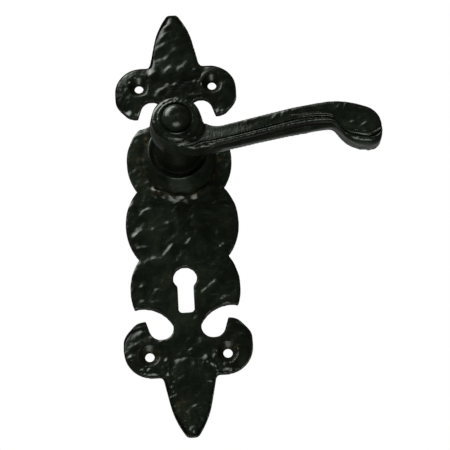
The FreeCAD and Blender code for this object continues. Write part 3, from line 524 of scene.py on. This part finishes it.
def shape_lever(piece):
    """Refine the lever where its relief is small, then give head, arm and neck their relief."""
    points = read_points(piece.data)
    normals = read_normals(piece.data)
    radius = np.hypot(points[:, 0], points[:, 2])
    facing = -normals[:, 1] > 0.3
    under = GROOVE_LINE(points[:, 0]) - points[:, 2]
    by_bead = (points[:, 1] < ARM_FRONT + 1.4) & (under > -1.6) & (radius > BY_HEAD)
    by_rib = facing & (points[:, 0] > 47) & (abs(points[:, 2] - RIB_LINE(points[:, 0])) < 1.8)
    on_rim = facing & (points[:, 1] < HEAD_FRONT + 1.2)
    finer(piece, by_bead | by_rib | on_rim)
    mesh = piece.data
    points = read_points(mesh)
    normals = read_normals(mesh)
    radius = np.hypot(points[:, 0], points[:, 2])
    pad = fade(points[:, 0], 64, 72)
    skin = 0.08 * lumps(points, 5, 11) + 0.05 * lumps(points, 2.2, 12)
    skin += pad * 0.1 * lumps(points, 2.6, 16)
    on_head = (points[:, 1] < HEAD_FRONT + 1.6) * fade(radius - RING_RADIUS, 0.2, 0.5)
    on_head *= fade(-normals[:, 1], 0.2, 0.6)
    pushed = on_head * head_depth(points, radius)
    outside = (points[:, 1] < -BOSS_RIM_STAND) * (radius > NECK_RADIUS - 0.8)
    outside = outside * fade(normals[:, 1], -0.8, -0.4)
    points += normals * (outside * (skin - 0.1))[:, None]
    grime, worn = shape_arm(points, normals, radius, skin)
    # The neck behind the arm is also marked to be painted darker: painted shade.
    on_neck = fade(points[:, 1], ARM_BACK - 1, ARM_BACK + 3) * (abs(radius - NECK_RADIUS) < 1.25)
    grime = np.maximum(grime, 0.75 * on_neck)
    points[:, 1] += pushed
    write_points(mesh, points)
    mark_points(mesh, "grime", grime)
    mark_points(mesh, "worn", worn)


def shape_collar(piece):
    """Give the collar's outside a cast skin, and its mouth a rounded edge."""
    mesh = piece.data
    points = read_points(mesh)
    normals = read_normals(mesh)
    radius = np.hypot(points[:, 0], points[:, 2])
    outward = (normals[:, 0] * points[:, 0] + normals[:, 2] * points[:, 2]) / radius
    outside = fade(outward, 0.2, 0.6) * (points[:, 1] < PLATE_FRONT - 0.1)
    skin = 0.16 * lumps(points, 6.5, 21) + 0.08 * lumps(points, 2.6, 22)
    points += normals * (outside * (skin - 0.12))[:, None]
    mouth = -BOSS_RIM_STAND + 1.2 * np.clip(BOSS_MOUTH_RADIUS + 1.0 - radius, 0, 1)
    points[:, 1] = np.maximum(points[:, 1], mouth)
    write_points(mesh, points)


def shape_cap(piece):
    """Flatten the middle of the dome and give it a cast skin."""
    mesh = piece.data
    points = read_points(mesh)
    normals = read_normals(mesh)
    outside = points[:, 1] < HEAD_FRONT + 0.4
    skin = 0.12 * lumps(points, 3.6, 31) + 0.05 * lumps(points, 1.3, 32)
    points += normals * (outside * (skin - 0.14))[:, None]
    points[:, 1] += outside * 0.45 * bell(np.hypot(points[:, 0], points[:, 2]), 2.8)
    write_points(mesh, points)


# Shader maths

class Wire:
    """A value in a node tree, for use in formulas."""

    def __init__(self, nodes, socket):
        self.nodes = nodes
        self.socket = socket

    def other(self, name):
        """Another output of the same node."""
        return Wire(self.nodes, self.socket.node.outputs[name])

    def __add__(self, value):
        return self.nodes.math("ADD", self, value)

    def __sub__(self, value):
        return self.nodes.math("SUBTRACT", self, value)

    def __rsub__(self, value):
        return self.nodes.math("SUBTRACT", value, self)

    def __mul__(self, value):
        return self.nodes.math("MULTIPLY", self, value)

    def size(self):
        return self.nodes.math("ABSOLUTE", self)

    def between(self, low, high):
        """0 below low, 1 above high, and smooth between them."""
        return self.nodes.add(
            "ShaderNodeMapRange", {"interpolation_type": "SMOOTHSTEP"}, self, low, high)

    __radd__ = __add__
    __rmul__ = __mul__


class Nodes:
    """A node tree, and the one way in which its nodes are made."""

    def __init__(self, tree):
        self.tree = tree

    def add(self, kind, settings, *values, output=0, **named):
        """Add a node, set it up, feed its sockets, and give the wire of its output."""
        node = self.tree.nodes.new(kind)
        for name, value in settings.items():
            if name == "stops":
                self.set_stops(node.color_ramp, value)
            else:
                setattr(node, name, value)
        shown = [socket for socket in node.inputs if socket.enabled]
        for socket, value in zip(shown, values):
            self.feed(socket, value)
        for name, value in named.items():
            self.feed(node.inputs[name.replace("_", " ")], value)
        given = [socket for socket in node.outputs if socket.enabled]
        if isinstance(output, str):
            given = [socket for socket in given if socket.name == output]
            output = 0
        return Wire(self, given[output])

    def set_stops(self, ramp, stops):
        while len(ramp.elements) < len(stops):
            ramp.elements.new(1.0)
        for element, (position, grey) in zip(ramp.elements, stops):
            element.position = position
            element.color = (grey, grey, grey, 1)

    def feed(self, socket, value):
        if isinstance(value, Wire):
            self.tree.links.new(value.socket, socket)
        else:
            socket.default_value = value

    def math(self, operation, *values):
        return self.add("ShaderNodeMath", {"operation": operation}, *values)

    def split(self, place):
        """The three coordinates of a place."""
        across = self.add("ShaderNodeSeparateXYZ", {}, place)
        return across, across.other("Y"), across.other("Z")

    def length(self, first, second):
        """How long a step of those two lengths, square to each other, is."""
        return self.math("SQRT", first * first + second * second)


class Finish(Nodes):
    """A material, whose textures are placed in millimetres."""

    def __init__(self, name):
        self.material = bpy.data.materials.new(name)
        self.material.use_nodes = True
        super().__init__(self.material.node_tree)
        self.shader = self.tree.nodes["Principled BSDF"]
        place = self.add("ShaderNodeTexCoord", {}, output="Object")
        self.place = self.add("ShaderNodeVectorMath", {"operation": "SCALE"}, place,
                              Scale=1 / MM)

    def set(self, **sockets):
        """Feed the shader's own sockets."""
        for name, value in sockets.items():
            self.feed(self.shader.inputs[name.replace("_", " ")], value)

    def noise(self, size, detail=3.0, roughness=0.55, place=None):
        """Noise from 0 to 1 with features of that size in millimetres."""
        return self.add("ShaderNodeTexNoise", {}, place or self.place, output="Fac",
                        Scale=1 / size, Detail=detail, Roughness=roughness)

    def mix(self, share, first, second):
        """A colour part of the way from the first to the second."""
        ends = [end if isinstance(end, Wire) else (*end, 1) for end in (first, second)]
        return self.add("ShaderNodeMix", {"data_type": "RGBA"}, share, *ends, output="Result")

    def squeeze(self, across=1.0, deep=1.0, up=1.0):
        """The place with its axes scaled, so that noise runs along one of them."""
        return self.add("ShaderNodeVectorMath", {"operation": "MULTIPLY"}, self.place,
                        (across, deep, up))

    def mark(self, name):
        """The number that mark_points stored on the piece's points."""
        return self.add("ShaderNodeAttribute", {"attribute_name": name}, output="Fac")

    def bump(self, height, distance):
        normal = self.add("ShaderNodeBump", {}, output="Normal", Height=height,
                          Distance=distance * MM)
        self.set(Normal=normal)


# Finishes

LACQUER = (0.0034, 0.0048, 0.0027)
FADED_LACQUER = (0.0092, 0.0126, 0.0074)
SCUFFED_LACQUER = (0.020, 0.025, 0.017)
# The next colour lightens the lever's underside: a painted reflection of the pale surroundings
# below.
UNDERSIDE_PAINTED_REFLECTION = (0.045, 0.048, 0.043)
# The next two colours darken the plate's side walls and the lever's cove, groove and neck: painted
# shade.
EDGE_PAINTED_SHADE = (0.004, 0.005, 0.003)
RECESS_PAINTED_SHADE = (0.003, 0.003, 0.002)
PLATE_RUST = (0.033, 0.020, 0.005)
COLLAR_RUST = (0.030, 0.021, 0.007)
NECK_STAIN = (0.014, 0.011, 0.005)


class BlackIron(Finish):
    """Worn black lacquer over a rough iron casting; coarse is the size of its grain."""

    def __init__(self, name, coarse):
        super().__init__(name)
        self.across, self.deep, self.up = self.split(self.place)
        cloud = self.noise(9, 4, 0.6)
        self.grain = self.noise(coarse, 5, 0.65)
        self.pits = self.noise(coarse * 0.4, 3, 0.6)
        self.scuffs = self.noise(2.6, 4, 0.7, self.squeeze(0.5, 1.0, 1.3))
        lacquer = self.mix(cloud.between(0.35, 0.7), LACQUER, FADED_LACQUER)
        worn_through = self.scuffs.between(0.56, 0.76) * 0.6
        self.lacquer = self.mix(worn_through, lacquer, SCUFFED_LACQUER)

    def wear(self, colour, rust, marks=0, dirt=0):
        """Finish the iron with its colour, and with what dulls or lines its gloss."""
        dull = 0.16 + 0.1 * self.grain + 0.08 * self.scuffs.between(0.5, 0.8)
        self.set(Base_Color=colour, Roughness=dull + 0.22 * rust + dirt)
        self.set(Specular_IOR_Level=0.36, Specular_Tint=(0.90, 1.0, 0.88, 1))
        self.bump(self.grain * 0.65 + self.pits * 0.35 + marks, 0.09)
        return self.material


def plate_iron():
    iron = BlackIron("plate_iron", 1.3)
    from_axis = iron.length(iron.across, iron.up)
    from_hole = iron.length(iron.across.size() - HOLE_ACROSS,
                            (iron.up - PLATE_CENTRE).size() - HOLE_REACH)
    patches = iron.noise(3.4, 5, 0.7)
    foot = 1 - (from_axis - FOOT_LINE).size().between(0.4, 2.6)
    sinks = 1 - from_hole.between(3.5, 6.4)
    leaf = (0 - iron.up).between(106, 114) * (0 - iron.across).between(1.5, 5.5)
    rust = (foot * 1.2 + sinks * 0.7 + leaf * 0.6) * patches.between(0.48, 0.7)
    rust = iron.math("MINIMUM", rust, 1)
    # The side walls are painted darker, as painted shade, and are also made rougher.
    grime = iron.mark("grime")
    colour = iron.mix(grime * 0.6, iron.lacquer, EDGE_PAINTED_SHADE)
    colour = iron.mix(rust * 0.85, colour, PLATE_RUST)
    return iron.wear(colour, rust, dirt=0.45 * grime)


def collar_iron():
    iron = BlackIron("collar_iron", 1.1)
    from_axis = iron.length(iron.across, iron.up)
    patches = iron.noise(3.0, 5, 0.7)
    foot = (iron.deep + BOSS_RIM_STAND).between(9.2, 11.6)
    recess = 1 - (from_axis - BOSS_MOUTH_RADIUS).between(-0.2, 1.0)
    rust = (foot * 0.9 + recess * 0.3) * patches.between(0.46, 0.68)
    rust = iron.math("MINIMUM", rust, 1)
    return iron.wear(iron.mix(rust * 0.8, iron.lacquer, COLLAR_RUST), rust)


def lever_iron():
    iron = BlackIron("lever_iron", 0.9)
    brown = iron.noise(7, 4, 0.6)
    behind_head = iron.deep - HEAD_FRONT
    neck = behind_head.between(6, 10) * (1 - behind_head.between(30, 36))
    stain = neck * brown.between(0.48, 0.7) * 0.35
    colour = iron.mix(stain, iron.lacquer, NECK_STAIN)
    # The cove, groove and neck are painted darker, as painted shade, and the rear of the underside
    # paler, as a painted reflection.
    colour = iron.mix(iron.mark("grime"), colour, RECESS_PAINTED_SHADE)
    colour = iron.mix(iron.mark("worn") * 0.8, colour, UNDERSIDE_PAINTED_REFLECTION)
    brushed = iron.noise(0.7, 3, 0.6, iron.squeeze(1.0, 1.0, 0.1))
    face = iron.across.between(12, 16) * (1 - iron.across.between(46, 60))
    return iron.wear(colour, stain, marks=face * brushed * 1.2)


def cap_iron():
    iron = BlackIron("cap_iron", 0.9)
    from_axis = iron.add("ShaderNodeCombineXYZ", {}, iron.length(iron.across, iron.up))
    rings = iron.noise(0.4, 2, 0.5, from_axis)
    return iron.wear(iron.lacquer, 0.12, marks=rings * 0.5)


def drawn_metal(name, colour, dark, roughness, line):
    """Bare or plated metal; its tool marks run along the axis that line makes small."""
    metal = Finish(name)
    marks = metal.noise(0.5, 4, 0.6, metal.squeeze(*line))
    smear = metal.noise(6, 4, 0.6)
    spots = metal.noise(1.6, 5, 0.7)
    stain = smear.between(0.42, 0.72) * 0.6 + spots.between(0.6, 0.8) * 0.3
    metal.set(Base_Color=metal.mix(stain, colour, dark), Metallic=1.0)
    metal.set(Roughness=roughness + 0.16 * smear + 0.1 * marks)
    metal.bump(marks * 0.8 + spots * 0.2, 0.05)
    return metal.material


def nylon():
    plastic = Finish("nylon")
    speckle = plastic.noise(0.7, 3)
    plastic.set(Base_Color=plastic.mix(speckle, (0.03, 0.03, 0.03), (0.05, 0.05, 0.05)))
    plastic.set(Roughness=0.42 + 0.12 * speckle)
    plastic.bump(speckle, 0.04)
    return plastic.material


def coat(node, material):
    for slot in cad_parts[node].material_slots:
        slot.material = material


# The pieces

def castings():
    """The four black castings, each in place of its plain solid."""
    # Node, piece, body, size of its faces, rounds of softening, relief, finish
    pieces = [
        ("backplate", "plate_casting", "plate", 0.5, 5, shape_backplate, plate_iron),
        ("boss_collar", "collar_casting", "plate", 0.36, 5, shape_collar, collar_iron),
        ("lever", "lever_casting", "handle", 0.4, 5, shape_lever, lever_iron),
        ("front_cap", "cap_casting", "handle", 0.25, 4, shape_cap, cap_iron),
    ]
    for node, name, body, grain, softness, shape, finish in pieces:
        piece = cast_copy(node, name, grain, softness)
        shape(piece)
        piece.data.materials.append(finish())
        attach(piece, body)
        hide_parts(node)


def dress_fittings():
    """Finishes for the plain parts inside and behind the castings."""
    dark = drawn_metal("blackened_steel", (0.05, 0.05, 0.045), (0.02, 0.018, 0.015), 0.42,
                       (1, 1, 1))
    zinc = drawn_metal("zinc_steel", (0.60, 0.60, 0.56), (0.34, 0.34, 0.32), 0.3, (1, 0.12, 1))
    spring = drawn_metal("spring_steel", (0.30, 0.29, 0.28), (0.12, 0.11, 0.10), 0.34, (1, 1, 1))
    bronze = drawn_metal("bronze", (0.66, 0.44, 0.20), (0.36, 0.21, 0.09), 0.28, (0.1, 1, 0.1))
    washer = nylon()
    wearing = [
        (dark, ["rest_stop_pin", "travel_stop_pin", "spring_anchor_pin"]),
        (zinc, ["thrust_washer", "spindle", "spring_cam", "rear_cover", "cover_screw_1",
                "cover_screw_2", "cover_screw_3", "cover_screw_4"]),
        (spring, ["grub_screw", "circlip", "return_spring"]),
        (bronze, ["hub_bush"]),
        (washer, ["neck_washer"]),
    ]
    for material, nodes in wearing:
        for node in nodes:
            coat(node, material)


# The studio

CAMERA_PLACE = (0.0050, -0.5868, -0.2373)
CAMERA_TURN = (109.337, 3.326, -0.258)
CAMERA_LENS = 108
FLOOR_HEIGHT = -1.0
FLOOR_REACH = 0.12
FLOOR_COLOUR = (0.8, 0.8, 0.79, 1)

# What the castings mirror, from the front of the room to the white backdrop behind them
ROOM_GREYS = [(0.0, 0.035), (0.82, 0.05), (0.93, 0.26), (0.965, 0.34), (1.0, 1.0)]
ROOM_LIGHT = 0.2
BRIGHTER_BELOW = 0.07


def set_camera():
    lens = bpy.data.cameras.new("camera")
    lens.lens = CAMERA_LENS
    lens.sensor_width = 36
    camera = bpy.data.objects.new("camera", lens)
    camera.location = CAMERA_PLACE
    camera.rotation_euler = [math.radians(turn) for turn in CAMERA_TURN]
    bpy.context.scene.collection.objects.link(camera)
    bpy.context.scene.camera = camera


def softbox(name, toward, distance, side, radiance, spread):
    """A square lamp of an even brightness that faces the handle."""
    light = bpy.data.lights.new(name, "AREA")
    light.shape = "SQUARE"
    light.size = side
    light.spread = math.radians(spread)
    light.energy = radiance * math.pi * side * side
    lamp = bpy.data.objects.new(name, light)
    place = Vector(toward).normalized() * distance
    lamp.location = place
    lamp.rotation_euler = place.to_track_quat("Z", "Y").to_euler()
    lamp.visible_camera = False
    bpy.context.scene.collection.objects.link(lamp)


def set_world():
    """A white backdrop behind the handle, and a dim room in front of it."""
    world = bpy.data.worlds.new("studio")
    world.use_nodes = True
    bpy.context.scene.world = world
    room = Nodes(world.node_tree)
    _, away, up = room.split(room.add("ShaderNodeTexCoord", {}, output="Generated"))
    mirrored = room.add("ShaderNodeValToRGB", {"stops": ROOM_GREYS}, away - BRIGHTER_BELOW * up)
    seen = room.add("ShaderNodeLightPath", {}, output="Is Camera Ray")
    sharp = room.math("MAXIMUM", seen.other("Is Glossy Ray"), seen.other("Is Transmission Ray"))
    level = room.add("ShaderNodeMix", {}, sharp, ROOM_LIGHT, mirrored)
    level = room.add("ShaderNodeMix", {}, seen, level, 1.0)
    backdrop = room.tree.nodes["Background"]
    room.feed(backdrop.inputs["Color"], (1, 1, 1, 1))
    room.feed(backdrop.inputs["Strength"], level)


def lay_floor():
    mesh = bpy.data.meshes.new("floor")
    corners = [(-FLOOR_REACH, -FLOOR_REACH), (FLOOR_REACH, -FLOOR_REACH),
               (FLOOR_REACH, FLOOR_REACH), (-FLOOR_REACH, FLOOR_REACH)]
    mesh.from_pydata([(x, y, FLOOR_HEIGHT) for x, y in corners], [], [(0, 1, 2, 3)])
    floor = bpy.data.objects.new("floor", mesh)
    bpy.context.scene.collection.objects.link(floor)
    pale = Finish("pale_floor")
    pale.set(Base_Color=FLOOR_COLOUR, Roughness=0.9)
    mesh.materials.append(pale.material)


set_camera()
castings()
dress_fittings()
lay_floor()
set_world()
softbox("window_light", (-0.53, -0.30, 0.79), distance=1.0, side=1.3, radiance=1.8, spread=75)
softbox("low_light", (-0.03, -0.52, -0.85), distance=0.8, side=0.6, radiance=1.0, spread=75)

bpy.context.scene.view_settings.view_transform = "Standard"
